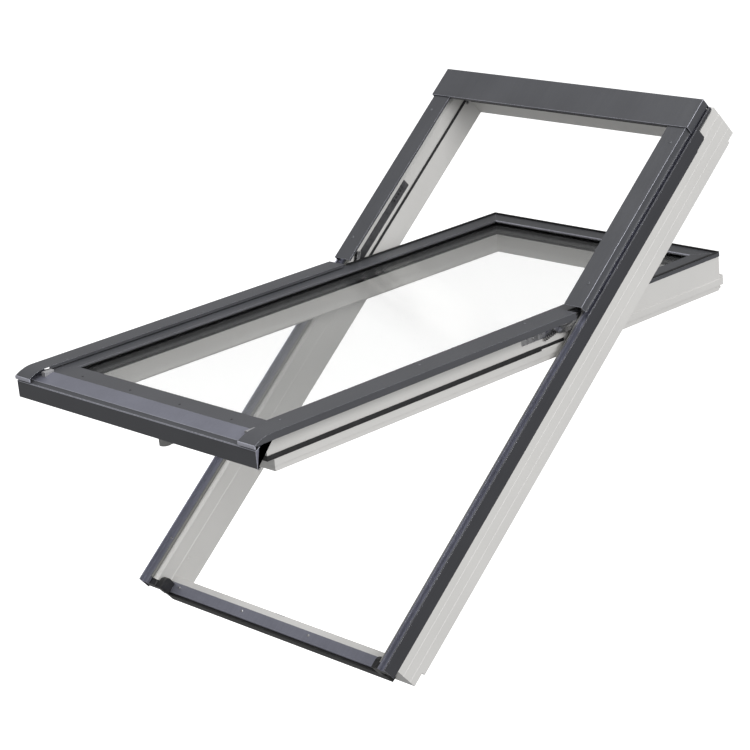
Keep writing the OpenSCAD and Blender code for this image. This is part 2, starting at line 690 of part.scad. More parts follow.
module sash_cover() difference() {
    union() {
        along_x(cover_in_x, cover_out_x)
            polygon(concat(cover_line(0), reversed(cover_line(sheet_t))));
        along_x(cover_out_x - sheet_t, cover_out_x) intersection() {
            polygon(concat(cover_line(0.1), [[cover_tip_y, 0], [pivot_y - cover_split, 0]]));
            translate([cover_tip_y - 10, flashing_z + 3.2]) square([window_h, 40]);
        }
        along_x(cover_in_x, cover_in_x + sheet_t) intersection() {
            polygon(concat(cover_line(0.1), reversed(cover_line(6))));
            translate([sash_bottom - 3, trim_z + 0.3]) square([window_h, 40]);
        }
    }
    for (y = sash_screw_y) translate([cover_in_x + 6, y, cover_z]) shank_hole(1.8, 22);
}
module sash_cover_right() on_sash() color(cladding_grey) sash_cover();
module sash_cover_left() on_sash() color(cladding_grey) on_left() sash_cover();

module sash_cover_clips() on_sash() color(rubber_black)
    for (s = [0, 1], y = sash_screw_y) mirror([s, 0, 0]) difference() {
        block([cover_in_x + 1.6, y - clip_len / 2, trim_z], [sash_x - 1, y + clip_len / 2, cover_under_z]);
        translate([cover_in_x + 6, y, cover_z]) shank_hole(1.8, 22);
    }

module sash_cover_screws() on_sash() color(steel)
    for (s = [-1, 1], y = sash_screw_y)
        translate([s * (cover_in_x + 6), y, cover_z]) screw(3.2, 1.2, 1.8, 22);

// Rubber lip on the upper half's trims
module sash_lip_seal() on_sash() color(rubber_black) translate([0, 0, trim_z])
    linear_extrude(lip_h) intersection() {
        difference() {
            plan_rect(-1);
            plan_rect(3);
        }
        translate([-half_w, lip_start_y]) square([window_w, half_h]);
    }

// ---- Lock and bolts ------------------------------------------------------

module lock_case() on_sash() color(steel) difference() {
    block([spindle_x - case_half[0], spindle_y - case_half[1], case_z[0]],
          [spindle_x + case_half[0], spindle_y + case_half[1], case_z[1]]);
    translate([spindle_x, spindle_y, case_z[0] - 1]) cylinder(r = spindle_r + slide_gap, h = 26);
    block([bolt_x[0] - slide_gap, spindle_y - case_half[1] - 1, bolt_z[0] - slide_gap],
          [bolt_x[1] + slide_gap, spindle_y + case_half[1] - 1, bolt_z[1] + slide_gap]);
}

module lock_bolt() on_sash() color(steel)
    block([bolt_x[0], bolt_tip_y, bolt_z[0]], [bolt_x[1], bolt_tip_y + bolt_len, bolt_z[1]]);

module handle_rose() on_sash() color(lever_grey) difference() {
    translate([spindle_x, spindle_y + 1, sash_z - rose_t]) linear_extrude(rose_t) union() {
        square([50, 24], center = true);
        for (s = [-1, 1]) translate([s * 25, 0]) circle(r = 12, $fn = 64);
    }
    translate([spindle_x, spindle_y, sash_z - rose_t - 1])
        cylinder(r = spindle_r + slide_gap, h = rose_t + 2);
}

module handle_lever() on_sash() color(lever_grey) translate([spindle_x, spindle_y, 0]) {
    neck_z = sash_z - rose_t - slide_gap;
    reach = lever_len - lever_end_r;
    translate([0, 0, neck_z - 0.1]) cylinder(r = spindle_r, h = 24 + rose_t);
    translate([0, 0, neck_z - hub_h]) cylinder(r = hub_r, h = hub_h);
    translate([0, 0, neck_z - hub_h]) linear_extrude(lever_t) union() {
        polygon([[-hub_r + 1, 0], [hub_r - 1, 0], [lever_end_r, reach], [-lever_end_r, reach]]);
        translate([0, reach]) circle(r = lever_end_r, $fn = 64);
    }
}

module cleaning_bolt() on_sash() color(steel) {
    translate([-sash_x - proud + 0.5, clean_y, clean_z]) rotate([0, 90, 0])
        cylinder(r = clean_r, h = clean_len - clean_travel);
    translate([-sash_x + 19, clean_y, clean_z]) rotate([-90, 0, 0]) cylinder(r = 2.3, h = 7);
}

module corner_plug() on_sash() color(rubber_black)
    block([sash_x - 24, clean_y + 2, clean_z - 2.8], [sash_x - 2, sash_top + 9, clean_z + 2.8]);

// ---- Pieces --------------------------------------------------------------

frame_jamb_left();
frame_jamb_right();
frame_head();
frame_sill();
frame_seal_head();
frame_seal_left();
frame_seal_right();
sill_seal();
head_hood();
upper_cover_left();
upper_cover_right();
side_flashing_left();
side_flashing_right();
sill_cladding();
sill_cap_left();
sill_cap_right();
cover_clips();
upper_cover_screws();
flashing_screws();
sill_rivets();
hinge_guide_left();
hinge_guide_right();
hinge_guide_screws();
strike_plate();
bolt_bush();
frame_plugs();
hinge_slider_left();
hinge_slider_right();
sash_rail_left();
sash_rail_right();
sash_rail_top();
sash_rail_bottom();
outer_pane();
inner_pane();
pane_spacer();
outer_glazing_gasket();
inner_glazing_gasket();
sash_seal();
sash_lip_seal();
sash_trim_left();
sash_trim_right();
sash_trim_top();
sash_trim_bottom();
bottom_skirt();
sash_cover_left();
sash_cover_right();
sash_cover_clips();
sash_cover_screws();
trim_screws();
hinge_shoe_left();
hinge_shoe_right();
hinge_shoe_screws();
lock_case();
handle_rose();
corner_plug();
handle_lever();
lock_bolt();
cleaning_bolt();
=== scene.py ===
"""Looks of a centre-hung roof window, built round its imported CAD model.

The CAD pieces give every size and place. This script rounds their edges, adds
the small things that a profile drawing leaves out, such as seal lips, screw
sockets and springs, and gives each finish its grain, gloss and tone.
"""

import json
import logging
import math
from dataclasses import dataclass
from enum import Enum
from typing import Any, Callable, Sequence

import bmesh
import bpy
import numpy as np
from mathutils import Matrix, Vector

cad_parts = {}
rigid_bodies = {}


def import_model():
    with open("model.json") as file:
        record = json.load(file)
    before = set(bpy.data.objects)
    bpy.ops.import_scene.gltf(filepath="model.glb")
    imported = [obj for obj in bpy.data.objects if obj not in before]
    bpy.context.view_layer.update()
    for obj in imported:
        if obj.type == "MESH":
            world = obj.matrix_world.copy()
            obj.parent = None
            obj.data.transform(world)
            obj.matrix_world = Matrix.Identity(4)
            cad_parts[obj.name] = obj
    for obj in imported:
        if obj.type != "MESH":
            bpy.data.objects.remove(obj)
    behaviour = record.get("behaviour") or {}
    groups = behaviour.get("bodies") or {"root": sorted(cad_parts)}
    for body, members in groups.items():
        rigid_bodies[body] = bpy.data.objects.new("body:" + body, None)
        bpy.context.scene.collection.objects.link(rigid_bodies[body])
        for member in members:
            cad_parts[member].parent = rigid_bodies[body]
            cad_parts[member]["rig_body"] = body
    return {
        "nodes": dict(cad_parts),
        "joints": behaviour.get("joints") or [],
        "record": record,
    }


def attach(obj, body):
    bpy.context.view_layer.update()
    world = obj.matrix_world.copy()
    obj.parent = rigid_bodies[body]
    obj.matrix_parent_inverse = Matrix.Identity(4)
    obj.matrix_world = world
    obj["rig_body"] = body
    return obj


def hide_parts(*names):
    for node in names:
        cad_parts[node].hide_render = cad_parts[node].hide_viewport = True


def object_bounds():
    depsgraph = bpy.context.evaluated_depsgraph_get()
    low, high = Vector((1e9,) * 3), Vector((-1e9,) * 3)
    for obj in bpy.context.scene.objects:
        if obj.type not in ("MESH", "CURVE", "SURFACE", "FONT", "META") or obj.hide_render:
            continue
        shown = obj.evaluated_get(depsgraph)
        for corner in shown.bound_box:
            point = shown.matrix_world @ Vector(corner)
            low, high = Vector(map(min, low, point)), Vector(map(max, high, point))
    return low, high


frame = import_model()
CAD_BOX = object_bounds()

LOG = logging.getLogger("roof_window")
MM = 0.001
SHARP = math.radians(32)
SAME_POINT = 1e-6
SIDE_SHARE = 0.45
OFF_AXIS = (0.31, 0.17, 0.93)

Points = np.ndarray
Triple = tuple[float, float, float]
Box = tuple[float, float, float, float, float, float]
Node = bpy.types.Node
Piece = bpy.types.Object


# ---- Places --------------------------------------------------------------


def record_entry(group: Sequence[dict], name: str) -> dict:
    """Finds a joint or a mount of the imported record.

    Args:
        group: The record's list.
        name: The entry's name.

    Returns:
        The entry.
    """
    return next(entry for entry in group if entry["name"] == name)


@dataclass(frozen=True)
class Lay:
    """A tilted plane that a body's pieces are drawn in: x across, y up the slope, z outwards.

    Attributes:
        angle: Turn about X from the drawing plane to the row frame, in radians.
        shift: Where the drawing plane's origin lies in the row frame.
    """

    angle: float
    shift: Triple

    def matrix(self) -> np.ndarray:
        """The turn as a 3 x 3 matrix."""
        c, s = math.cos(self.angle), math.sin(self.angle)
        return np.array([[1, 0, 0], [0, c, -s], [0, s, c]])

    def to_row(self, points: Points) -> Points:
        """Takes points from the drawing plane to the row frame."""
        return np.asarray(points) @ self.matrix().T + np.array(self.shift)

    def to_plane(self, points: Points) -> Points:
        """Takes points from the row frame to the drawing plane."""
        return (np.asarray(points) - np.array(self.shift)) @ self.matrix()


def vertices_of(mesh: bpy.types.Mesh) -> Points:
    """All vertices of a mesh as an array of n rows."""
    flat = np.empty(len(mesh.vertices) * 3, np.float32)
    mesh.vertices.foreach_get("co", flat)
    return flat.reshape(-1, 3).astype(float)


def frame_lay() -> Lay:
    """The fixed frame's plane, from the outward axis of its roof mount."""
    axis = record_entry(frame["record"]["mounts"], "roof_opening")["axis"]
    return Lay(math.atan2(-axis[1], axis[2]), (0.0, 0.0, 0.0))


def sash_lay(fixed: Lay) -> Lay:
    """The open sash's plane, in the numbering of the closed sash.

    The sash turns about the pivot, so a point keeps its place relative to the
    pivot while the plane tilts: row point = turn * (point - pivot) + pivot.

    Args:
        fixed: The frame's plane.

    Returns:
        The sash's plane.
    """
    joints = frame["joints"]
    axis = record_entry(joints, "handle_turn")["axis"]
    angle = math.atan2(-axis[1], axis[2])
    pivot = np.array(record_entry(joints, "sash_pivot")["pos_m"])
    tilted = Lay(angle, (0.0, 0.0, 0.0))
    shift = pivot - tilted.to_row(fixed.to_plane(pivot))
    return Lay(angle, tuple(shift))


# ---- Meshes --------------------------------------------------------------


def new_piece(name: str, vertices: Points, faces: Sequence[Sequence[int]]) -> Piece:
    """Makes an object from arrays, smooth except where it turns sharply.

    Args:
        name: The piece's name.
        vertices: Corner points in the row frame, in metres.
        faces: Corner numbers of each face.

    Returns:
        The new object, at the origin.
    """
    mesh = bpy.data.meshes.new(name)
    corners = faces.tolist() if isinstance(faces, np.ndarray) else faces
    mesh.from_pydata(np.asarray(vertices).tolist(), [], corners)
    mesh.update()
    smooth_by_angle(mesh)
    piece = bpy.data.objects.new(name, mesh)
    bpy.context.scene.collection.objects.link(piece)
    return piece


def smooth_by_angle(mesh: bpy.types.Mesh, angle: float = SHARP) -> None:
    """Shades a mesh smooth, apart from edges sharper than the angle."""
    mesh.polygons.foreach_set("use_smooth", np.ones(len(mesh.polygons), bool))
    mesh.set_sharp_from_angle(angle=angle)


def grid_faces(rows: int, cols: int) -> np.ndarray:
    """Faces between the rings of a grid whose point (i, j) has number i * cols + j.

    Args:
        rows: Number of rings.
        cols: Number of points of a ring, the last of which joins the first.

    Returns:
        An array of four corner numbers a face.
    """
    i, j = np.meshgrid(np.arange(rows - 1), np.arange(cols), indexing="ij")
    i, j = i.ravel(), j.ravel()
    i2, j2 = i + 1, (j + 1) % cols
    return np.stack([i * cols + j, i * cols + j2, i2 * cols + j2, i2 * cols + j], axis=1)


def outward(piece: Piece) -> Piece:
    """Turns all faces of a closed piece outwards."""
    bm = bmesh.new()
    bm.from_mesh(piece.data)
    bmesh.ops.remove_doubles(bm, verts=bm.verts, dist=SAME_POINT)
    bmesh.ops.recalc_face_normals(bm, faces=bm.faces)
    bm.to_mesh(piece.data)
    bm.free()
    smooth_by_angle(piece.data)
    return piece


def tube_grid(name: str, sections: Points) -> Piece:
    """Skins closed sections one after another, with flat caps at both ends.

    Args:
        name: The piece's name.
        sections: Array (stations, points, 3); point (s, k) is point k of section s.

    Returns:
        The closed piece.
    """
    stations, count, _ = sections.shape
    first = list(range(count))
    last = list(range((stations - 1) * count, stations * count))
    faces = grid_faces(stations, count).tolist() + [first[::-1], last]
    return outward(new_piece(name, sections.reshape(-1, 3), faces))


def rounded(corners: Sequence[tuple[float, float]], radius: float, steps: int = 5) -> Points:
    """Rounds the corners of a closed outline.

    Each corner is swapped for a curve: with a and b the points at the radius
    along its two sides, point = (1-t)^2 a + 2t(1-t) corner + t^2 b.

    Args:
        corners: The outline's corners.
        radius: How far along each side the curve starts.
        steps: Points of each curve.

    Returns:
        The rounded outline, as rows of two numbers.
    """
    c = np.asarray(corners, float)
    before, after = np.roll(c, 1, axis=0) - c, np.roll(c, -1, axis=0) - c

    def start(way: Points) -> Points:
        """The point at the radius along a side, short of the side's middle."""
        length = np.linalg.norm(way, axis=1, keepdims=True)
        return c + way / length * np.minimum(radius, SIDE_SHARE * length)

    t = np.linspace(0, 1, steps)[None, :, None]
    a, b, m = start(before)[:, None], start(after)[:, None], c[:, None]
    return ((1 - t) ** 2 * a + 2 * t * (1 - t) * m + t**2 * b).reshape(-1, 2)


def sweep_profile(name: str, lay: Lay, start: Points, end: Points, profile: Points) -> Piece:
    """Carries a profile along a straight line.

    With n the unit direction to the left of the line, point (r, z) of the
    profile lies at line point + r * n, at height z.

    Args:
        name: The piece's name.
        lay: The plane that the line lies in.
        start: The line's start (x, y).
        end: Its end.
        profile: Outline (r, z), r to the left of the line and z outwards.

    Returns:
        The swept piece.
    """
    line = np.stack([start, end])
    way = (line[1] - line[0]) / np.linalg.norm(line[1] - line[0])
    left = np.array([-way[1], way[0]])
    flat = line[:, None, :] + profile[None, :, :1] * left
    height = np.broadcast_to(profile[None, :, 1:], flat.shape[:2] + (1,))
    sections = np.concatenate([flat, height], axis=2)
    return tube_grid(name, lay.to_row(sections.reshape(-1, 3)).reshape(sections.shape))


def sweep_curve(name: str, centre: Points, radius: float, around: int = 10) -> Piece:
    """A round rod along a curve.

    At each station the circle is centre + radius * (cos a * u + sin a * v),
    with u and v square to the curve's tangent.

    Args:
        name: The piece's name.
        centre: The curve's points in the row frame.
        radius: The rod's radius.
        around: Points of the circle.

    Returns:
        The rod.
    """
    tangent = np.gradient(centre, axis=0)
    tangent /= np.linalg.norm(tangent, axis=1, keepdims=True)
    u = np.cross(tangent, np.array(OFF_AXIS))
    u /= np.linalg.norm(u, axis=1, keepdims=True)
    v = np.cross(tangent, u)
    a = np.linspace(0, 2 * math.pi, around, endpoint=False)[None, :, None]
    rings = centre[:, None] + radius * (np.cos(a) * u[:, None] + np.sin(a) * v[:, None])
    return tube_grid(name, rings)


def islands(mesh: bpy.types.Mesh) -> list[Points]:
    """Splits a CAD node into its separate solids.

    Corners at one place get one number, and numbers then spread along the
    edges until each solid has a single one.

    Args:
        mesh: The node's mesh.

    Returns:
        The corner points of each solid.
    """
    points = vertices_of(mesh)
    _, number = np.unique(np.round(points, 6), axis=0, return_inverse=True)
    number = number.ravel()
    edges = np.empty(len(mesh.edges) * 2, np.int32)
    mesh.edges.foreach_get("vertices", edges)
    pairs = number[edges.reshape(-1, 2)]
    label = np.arange(number.max() + 1)
    while True:
        spread = label.copy()
        np.minimum.at(spread, pairs[:, 0], label[pairs[:, 1]])
        np.minimum.at(spread, pairs[:, 1], label[pairs[:, 0]])
        if (spread == label).all():
            break
        label = spread
    owner = label[number]
    return [points[owner == k] for k in np.unique(owner)]


class Edge(Enum):
    """How a CAD piece's edges are rounded: the rounding's width in metres."""

    MOULDED = 0.0012
    EXTRUDED = 0.0008
    FOLDED = 0.0018
    MACHINED = 0.0004


THIN_FACE = 1.6 * MM
CUT_EDGE = 0.35 * MM
FOLD_ANGLE = math.radians(24)
FLAT_ANGLE = math.radians(0.5)
WELD = 2e-6


def soften(node: str, edge: Edge) -> Piece:
    """Copies a CAD node, joins its loose triangles and rounds its edges.

    A fold between two wide faces gets the full width, and the cut edge of a
    sheet, where one face is narrow, only a little.

    Args:
        node: The CAD node's name.
        edge: The kind of rounding.

    Returns:
        The piece that stands for the node.
    """
    source = frame["nodes"][node]
    mesh = source.data.copy()
    bm = bmesh.new()
    bm.from_mesh(mesh)
    bmesh.ops.remove_doubles(bm, verts=bm.verts, dist=WELD)
    bmesh.ops.dissolve_limit(bm, angle_limit=FLAT_ANGLE, verts=bm.verts, edges=bm.edges)
    weight = bm.edges.layers.float.new("bevel_weight_edge")
    for e in bm.edges:
        if len(e.link_faces) == 2 and e.calc_face_angle_signed(0) > FOLD_ANGLE:
            width = min(f.calc_area() / max(s.calc_length() for s in f.edges) for f in e.link_faces)
            e[weight] = 1.0 if width > THIN_FACE else min(1.0, CUT_EDGE / edge.value)
    bm.to_mesh(mesh)
    bm.free()
    smooth_by_angle(mesh, FOLD_ANGLE)
    mesh.materials.clear()
    piece = bpy.data.objects.new(f"{node}_finished", mesh)
    bpy.context.scene.collection.objects.link(piece)
    bevel = piece.modifiers.new("rounding", "BEVEL")
    bevel.limit_method = "WEIGHT"
    bevel.offset_type = "OFFSET"
    bevel.width = edge.value
    bevel.segments = 3
    bevel.use_clamp_overlap = True
    shade = piece.modifiers.new("shading", "WEIGHTED_NORMAL")
    shade.keep_sharp = True
    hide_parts(node)
    return piece


# ---- Shader building -----------------------------------------------------


class Shade:
    """A number socket that can be used in an expression."""

    def __init__(self, graph: "Graph", socket: bpy.types.NodeSocket) -> None:
        """Wraps a socket of a graph."""
        self.graph = graph
        self.socket = socket

    def _math(self, operation: str, *values: Any) -> "Shade":
        """Adds a Math node with these values and returns its result."""
        made = self.graph.node("ShaderNodeMath", {"operation": operation}, dict(enumerate(values)))
        return self.graph.take(made, 0)

    def __add__(self, other: Any) -> "Shade":
        """self + other."""
        return self._math("ADD", self, other)

    __radd__ = __add__

    def __sub__(self, other: Any) -> "Shade":
        """self - other."""
        return self._math("SUBTRACT", self, other)

    def __rsub__(self, other: Any) -> "Shade":
        """other - self."""
        return self._math("SUBTRACT", other, self)

    def __mul__(self, other: Any) -> "Shade":
        """self * other."""
        return self._math("MULTIPLY", self, other)

    __rmul__ = __mul__

    def between(self, low: float, high: float) -> "Shade":
        """0 below low, 1 above high and a straight ramp between."""
        made = self.graph.node(
            "ShaderNodeMapRange", {"clamp": True}, {"Value": self, "From Min": low, "From Max": high}
        )
        return self.graph.take(made, "Result")


class Graph:
    """The node tree of one material."""

    def __init__(self, name: str) -> None:
        """Starts a material with an empty tree."""
        self.material = bpy.data.materials.new(name)
        self.material.use_nodes = True
        self.tree = self.material.node_tree
        self.tree.nodes.clear()

    def node(self, kind: str, settings: dict[str, Any], sockets: dict[Any, Any]) -> Node:
        """Adds a node.

        Args:
            kind: The node's type.
            settings: Its own settings, set first.
            sockets: A value, a Shade or a socket for each input, by name,
                identifier or number.

        Returns:
            The new node.
        """
        made = self.tree.nodes.new(kind)
        for key, value in settings.items():
            setattr(made, key, value)
        named = {s.identifier: s for s in made.inputs}
        for key, value in sockets.items():
            socket = made.inputs[key] if isinstance(key, int) else named.get(key) or made.inputs[key]
            link = value.socket if isinstance(value, Shade) else value
            if isinstance(link, bpy.types.NodeSocket):
                self.tree.links.new(link, socket)
            else:
                socket.default_value = link
        return made

    def take(self, node: Node, output: Any) -> Shade:
        """Wraps one output of a node."""
        named = {s.identifier: s for s in node.outputs}
        found = node.outputs[output] if isinstance(output, int) else named.get(output)
        return Shade(self, found or node.outputs[output])

    def coordinates(self, lay: Lay, scale: Triple = (1, 1, 1)) -> Shade:
        """Object coordinates turned into a body's own plane, then stretched."""
        place = self.node("ShaderNodeTexCoord", {}, {})
        turned = self.node(
            "ShaderNodeMapping",
            {},
            {"Vector": place.outputs["Object"], "Rotation": (-lay.angle, 0.0, 0.0)},
        )
        made = self.node(
            "ShaderNodeMapping", {}, {"Vector": turned.outputs["Vector"], "Scale": scale}
        )
        return self.take(made, "Vector")

    def plain_coordinates(self) -> Shade:
        """Object coordinates as they are."""
        return self.take(self.node("ShaderNodeTexCoord", {}, {}), "Object")

    def noise(self, where: Shade, scale: float, detail: float = 2.0, rough: float = 0.5) -> Shade:
        """Smooth noise from 0 to 1 at a scale per metre."""
        made = self.node(
            "ShaderNodeTexNoise",
            {},
            {"Vector": where, "Scale": scale, "Detail": detail, "Roughness": rough},
        )
        return self.take(made, "Factor" if "Factor" in made.outputs else 0)

    def blend(self, factor: Any, first: Any, second: Any) -> Shade:
        """A colour between two colours."""
        made = self.node(
            "ShaderNodeMix",
            {"data_type": "RGBA"},
            {"Factor_Float": factor, "A_Color": first, "B_Color": second},
        )
        return self.take(made, "Result_Color")

    def bump(self, height: Shade, depth: float, strength: float = 1.0) -> Shade:
        """A normal from a height map whose full range is depth metres."""
        made = self.node(
            "ShaderNodeBump", {}, {"Height": height, "Distance": depth, "Strength": strength}
        )
        return self.take(made, "Normal")

    def surface(self, shader: Node) -> bpy.types.Material:
        """Connects the shader to the output and returns the material."""
        self.node("ShaderNodeOutputMaterial", {}, {"Surface": shader.outputs[0]})
        return self.material


Colour = Triple


def opaque(colour: Colour, share: float = 1.0) -> tuple[float, float, float, float]:
    """A colour scaled by a share, with full alpha."""
    return (colour[0] * share, colour[1] * share, colour[2] * share, 1.0)


# ---- Finishes ------------------------------------------------------------


@dataclass(frozen=True)
class SheetPaint:
    """Coil-coated or powder-coated aluminium: fine orange peel and faint rolling streaks.

    Attributes:
        name: Name of the material.
        colour: Paint colour.
        roughness: Mean roughness.
        metallic: Share of the metal's own gloss that shows through the paint.
        peel: Depth of the orange peel.
    """

    name: str
    colour: Colour
    roughness: float
    metallic: float
    peel: float = 0.00004

    def material(self, lay: Lay) -> bpy.types.Material:
        """Builds the material with its streaks along the body's slope."""
        g = Graph(self.name)
        where = g.coordinates(lay)
        streaks = g.noise(g.coordinates(lay, (260.0, 5.0, 260.0)), 1.0, 3.0)
        cloud = g.noise(where, 9.0, 3.0)
        grain = g.noise(where, 1500.0, 2.0)
        tone = (cloud * 0.6 + streaks * 0.4).between(0.3, 0.7)
        colour = g.blend(tone, opaque(self.colour, 0.9), opaque(self.colour, 1.12))
        rough = self.roughness + (cloud - 0.5) * 0.10 + (streaks - 0.5) * 0.12
        shader = g.node(
            "ShaderNodeBsdfPrincipled",
            {},
            {
                "Base Color": colour,
                "Roughness": rough,
                "Metallic": self.metallic,
                "Normal": g.bump(grain * 0.8 + streaks * 0.5, self.peel),
            },
        )
        return g.surface(shader)


@dataclass(frozen=True)
class WhiteProfile:
    """Extruded white PVC: satin, with die lines along the profile and a slight waviness.

    Attributes:
        name: Name of the material.
        colour: The plastic's colour.
        lines: Stretch of the die lines, per metre across and along.
    """

    name: str
    colour: Colour
    lines: Triple

    def material(self, lay: Lay) -> bpy.types.Material:
        """Builds the material with die lines along the profile."""
        g = Graph(self.name)
        where = g.coordinates(lay)
        die = g.noise(g.coordinates(lay, self.lines), 1.0, 4.0, 0.6)
        cloud = g.noise(where, 6.0, 3.0)
        fine = g.noise(where, 1100.0, 2.0)
        dust = g.noise(where, 34.0, 5.0, 0.65).between(0.5, 0.85)
        clean = g.blend(cloud.between(0.3, 0.7), opaque(self.colour, 0.97), opaque(self.colour, 1.02))
        colour = g.blend(dust * 0.14, clean, opaque((0.60, 0.59, 0.565)))
        rough = 0.34 + (cloud - 0.5) * 0.12 + (die - 0.5) * 0.16 + dust * 0.08
        shader = g.node(
            "ShaderNodeBsdfPrincipled",
            {},
            {
                "Base Color": colour,
                "Roughness": rough,
                "Normal": g.bump(die + fine * 0.35, 0.00005),
            },
        )
        return g.surface(shader)


@dataclass(frozen=True)
class Matt:
    """Black rubber or moulded plastic: deep tone, a fine skin and light dust.

    Attributes:
        name: Name of the material.
        colour: Body colour.
        roughness: Mean roughness.
        skin: Depth of the surface grain.
    """

    name: str
    colour: Colour
    roughness: float
    skin: float

    def material(self, lay: Lay) -> bpy.types.Material:
        """Builds the material."""
        g = Graph(self.name)
        where = g.coordinates(lay)
        cloud = g.noise(where, 14.0, 4.0, 0.6)
        grain = g.noise(where, 900.0, 3.0)
        dust = g.noise(where, 60.0, 4.0, 0.7).between(0.48, 0.9)
        colour = g.blend(dust * 0.25, opaque(self.colour), opaque((0.10, 0.10, 0.098)))
        rough = self.roughness + (cloud - 0.5) * 0.2 + dust * 0.1
        shader = g.node(
            "ShaderNodeBsdfPrincipled",
            {},
            {"Base Color": colour, "Roughness": rough, "Normal": g.bump(grain, self.skin)},
        )
        return g.surface(shader)


@dataclass(frozen=True)
class BareMetal:
    """Plated, lacquered or anodised metal with fine brushing.

    Attributes:
        name: Name of the material.
        colour: Colour of the metal.
        roughness: Mean roughness.
        metallic: 1 for bare metal, less for a lacquer.
    """

    name: str
    colour: Colour
    roughness: float
    metallic: float

    def material(self, lay: Lay) -> bpy.types.Material:
        """Builds the material."""
        g = Graph(self.name)
        where = g.coordinates(lay)
        brush = g.noise(g.coordinates(lay, (1800.0, 90.0, 1800.0)), 1.0, 2.0)
        stain = g.noise(where, 90.0, 4.0, 0.6).between(0.35, 0.75)
        colour = g.blend(stain, opaque(self.colour, 0.82), opaque(self.colour, 1.08))
        rough = self.roughness + (brush - 0.5) * 0.18 + (stain - 0.5) * 0.12
        shader = g.node(
            "ShaderNodeBsdfPrincipled",
            {},
            {
                "Base Color": colour,
                "Roughness": rough,
                "Metallic": self.metallic,
                "Normal": g.bump(brush, 0.00003),
            },
        )
        return g.surface(shader)


@dataclass(frozen=True)
class PaneGlass:
    """Clear float glass in a thin sheet, which passes light straight on and mirrors by its angle.

    Attributes:
        name: Name of the material.
        passes: Share of light that one face of the pane lets through, by colour.
        index: Refractive index, for the mirror's strength.
    """

    name: str
    passes: Colour
    index: float

    def material(self, lay: Lay) -> bpy.types.Material:
        """Builds the material, with a faint waviness and washing marks in its gloss."""
        g = Graph(self.name)
        where = g.coordinates(lay)
        smear = g.noise(g.coordinates(lay, (3.0, 1.2, 3.0)), 2.2, 3.0, 0.6)
        roller = g.noise(where, 4.0, 1.0)
        normal = g.bump(roller, 0.0004, 0.35)
        gloss = g.node(
            "ShaderNodeBsdfPrincipled",
            {},
            {
                "Base Color": opaque((0.9, 0.92, 0.92)),
                "Roughness": 0.05 + smear * 0.10,
                "Metallic": 1.0,
                "Normal": normal,
            },
        )
        clear = g.node("ShaderNodeBsdfTransparent", {}, {"Color": opaque(self.passes)})
        mirror = g.node("ShaderNodeFresnel", {}, {"IOR": self.index})
        factor = g.take(mirror, 0) * 0.17
        return g.surface(
            g.node("ShaderNodeMixShader", {}, {0: factor, 1: clear.outputs[0], 2: gloss.outputs[0]})
        )


PAINT = SheetPaint("anthracite_paint", (0.066, 0.068, 0.076), 0.42, 0.0)
DARK_PAINT = SheetPaint("dark_flange_paint", (0.036, 0.037, 0.043), 0.5, 0.0)
# A much lighter colour for rounded folds and hems: a painted highlight along the edges.
FOLD_HIGHLIGHT = SheetPaint("painted_fold_highlight", (0.46, 0.465, 0.53), 0.28, 0.35)
# Blue-grey coat of the gutters; on the skirt's slope the same colour is a painted sky reflection.
GUTTER_COAT_AND_PAINTED_REFLECTION = SheetPaint("blue_grey_coat_and_painted_reflection", (0.25, 0.255, 0.31), 0.33, 0.6, 0.00003)
FRAME_PVC = WhiteProfile("white_frame_plastic", (0.66, 0.652, 0.636), (900.0, 4.0, 900.0))
FRAME_PVC_ACROSS = WhiteProfile("white_cross_plastic", (0.66, 0.652, 0.636), (4.0, 900.0, 900.0))
RUBBER = Matt("black_rubber", (0.012, 0.012, 0.013), 0.55, 0.00005)
BLACK_PLASTIC = Matt("black_moulded_plastic", (0.014, 0.014, 0.015), 0.42, 0.00008)
SIDE_RUBBER = Matt("grey_side_rubber", (0.20, 0.20, 0.19), 0.5, 0.00005)
GREY_PLASTIC = Matt("grey_moulded_plastic", (0.30, 0.30, 0.31), 0.45, 0.00006)
ZINC = BareMetal("zinc_plated_steel", (0.55, 0.55, 0.56), 0.32, 1.0)
HINGE = BareMetal("dark_lacquered_steel", (0.16, 0.16, 0.17), 0.36, 0.8)
SPRING = BareMetal("oiled_spring_steel", (0.10, 0.10, 0.10), 0.3, 0.9)
DARK_SCREW = BareMetal("blackened_steel", (0.06, 0.06, 0.065), 0.4, 0.6)
COVER_SCREW = BareMetal("painted_screw", (0.16, 0.165, 0.18), 0.4, 0.4)
SATIN = BareMetal("satin_aluminium", (0.36, 0.36, 0.355), 0.38, 0.8)
GLASS = PaneGlass("clear_pane", (0.994, 0.994, 0.993), 1.45)


class Finishes:
    """Makes each finish once for each plane that its grain follows."""

    def __init__(self) -> None:
        """Starts with no material made."""
        self.made: dict[tuple[str, float], bpy.types.Material] = {}

    def get(self, finish: Any, lay: Lay) -> bpy.types.Material:
        """The finish's material for a plane."""
        key = (finish.name, lay.angle)
        if key not in self.made:
            self.made[key] = finish.material(lay)
        return self.made[key]


FINISHES = Finishes()


def dress(piece: Piece, finishes: Sequence[Any], lay: Lay) -> None:
    """Gives a piece one material for each of its finishes."""
    piece.data.materials.clear()
    for finish in finishes:
        piece.data.materials.append(FINISHES.get(finish, lay))


def slot_of(node: str) -> str:
    """The record's material slot of a CAD node."""
    subparts = frame["record"]["subparts"]
    return next(s["material_slot"] for s in subparts if s["node"] == node)


def join_body(piece: Piece, node: str, finishes: Sequence[Any], lay: Lay) -> Piece:
    """Dresses a piece like a CAD node and lets it ride with that node's body.

    Args:
        piece: The piece.
        node: The CAD node whose body it shares.
        finishes: One finish for each of the piece's material numbers.
        lay: The plane that the finishes follow.

    Returns:
        The piece.
    """
    dress(piece, finishes, lay)
    slot_of(node)
    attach(piece, frame["nodes"][node]["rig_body"])
    return piece


# ---- Screws --------------------------------------------------------------

SHANK_SHARE = 0.75
LOWEST_DOME = 0.3


